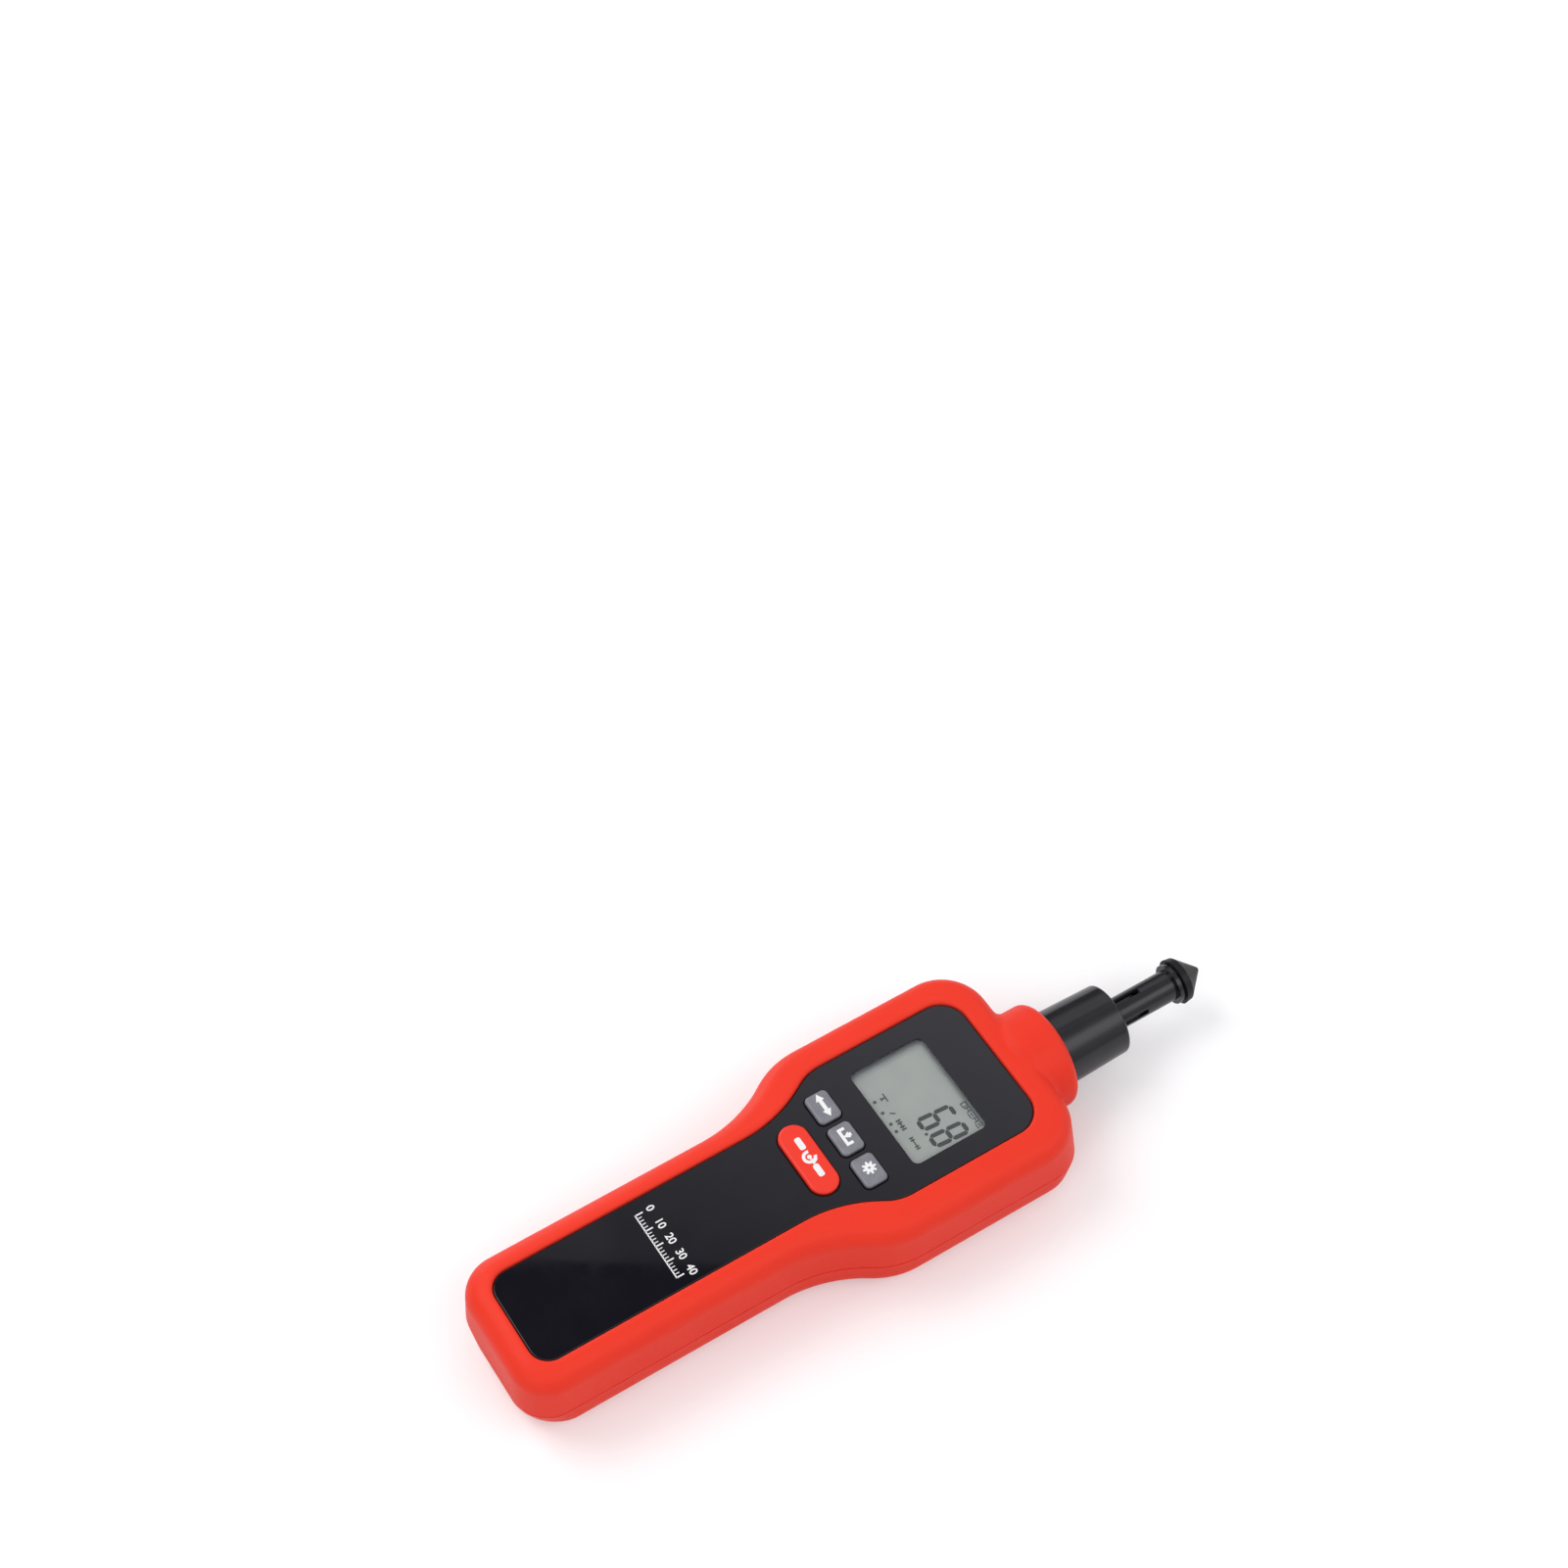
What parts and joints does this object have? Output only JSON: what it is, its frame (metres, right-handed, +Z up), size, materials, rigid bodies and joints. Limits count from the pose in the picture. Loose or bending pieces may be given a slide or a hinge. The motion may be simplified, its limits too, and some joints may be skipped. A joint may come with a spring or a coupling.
{
  "type": "contact tachometer",
  "caption": "Hand-held contact tachometer: waisted moulded case with a display and keys, and a spinning spindle that ends in a rubber cone.",
  "frame": {"origin": "middle of the whole length and width, on the plane that the back rests on", "axes": "+Y along the nose towards the contact tip, +Z up through the display, +X to the right of a reader who faces the tip"},
  "size_m": [0.0668, 0.2309, 0.031],
  "materials": {
    "red_shell": "satin moulded plastic",
    "black_panel": "glossy",
    "clear_lens": "clear",
    "display": "grey-green",
    "white_plastic": "matt",
    "pale_rubber": "matt",
    "board_green": "solder mask",
    "dark_plastic": "matt",
    "black_plastic": "satin",
    "black_rubber": "matt",
    "grey_rubber": "satin",
    "red_rubber": "satin",
    "steel": "bright",
    "spacer_metal": "turned",
    "brass": "plated",
    "battery_case": "plain jacket"
  },
  "bodies": {
    "case": {"front_shell": "red_shell", "rear_shell": "red_shell", "battery_cover": "red_shell", "front_panel": "black_panel", "window_lens": "clear_lens", "lcd_glass": "display", "backlight": "white_plastic", "zebra_strips": "pale_rubber", "circuit_board": "board_green", "microcontroller": "dark_plastic", "crystal": "steel", "tact_switches": "dark_plastic", "nose_sleeve": "black_plastic", "bearing_outer_rings": "steel", "bearing_spacer": "spacer_metal", "optical_sensor": "dark_plastic", "sensor_board": "board_green", "header_strip": "dark_plastic", "header_pins": "brass", "battery": "battery_case", "battery_contacts": "steel", "cover_screw": "steel", "case_screws": "steel", "board_screws": "steel"},
    "rotor": {"spindle": "steel", "encoder_disc": "dark_plastic", "retaining_clip": "steel", "bearing_inner_rings": "steel", "tip_adapter": "black_plastic", "cone_tip": "black_rubber"},
    "measure_button": {"measure_key": "red_rubber", "measure_plunger": "white_plastic"},
    "mode_button": {"mode_key": "grey_rubber", "mode_plunger": "white_plastic"},
    "memory_button": {"memory_key": "grey_rubber", "memory_plunger": "white_plastic"},
    "light_button": {"light_key": "grey_rubber", "light_plunger": "white_plastic"}
  },
  "joints": [
    {"name": "spindle_spin", "type": "hinge", "parent": "case", "child": "rotor", "pos_m": [0, 0.07, 0.0153], "axis": [0, 1, 0], "continuous": true},
    {"name": "measure_press", "type": "slide", "parent": "case", "child": "measure_button", "axis": [0, 0, -1], "range_m": [0, 0.0005], "stiffness_N_per_m": 800, "springref_m": -0.0015},
    {"name": "mode_press", "type": "slide", "parent": "case", "child": "mode_button", "axis": [0, 0, -1], "range_m": [0, 0.0005], "stiffness_N_per_m": 800, "springref_m": -0.0015},
    {"name": "memory_press", "type": "slide", "parent": "case", "child": "memory_button", "axis": [0, 0, -1], "range_m": [0, 0.0005], "stiffness_N_per_m": 800, "springref_m": -0.0015},
    {"name": "light_press", "type": "slide", "parent": "case", "child": "light_button", "axis": [0, 0, -1], "range_m": [0, 0.0005], "stiffness_N_per_m": 800, "springref_m": -0.0015}
  ]
}
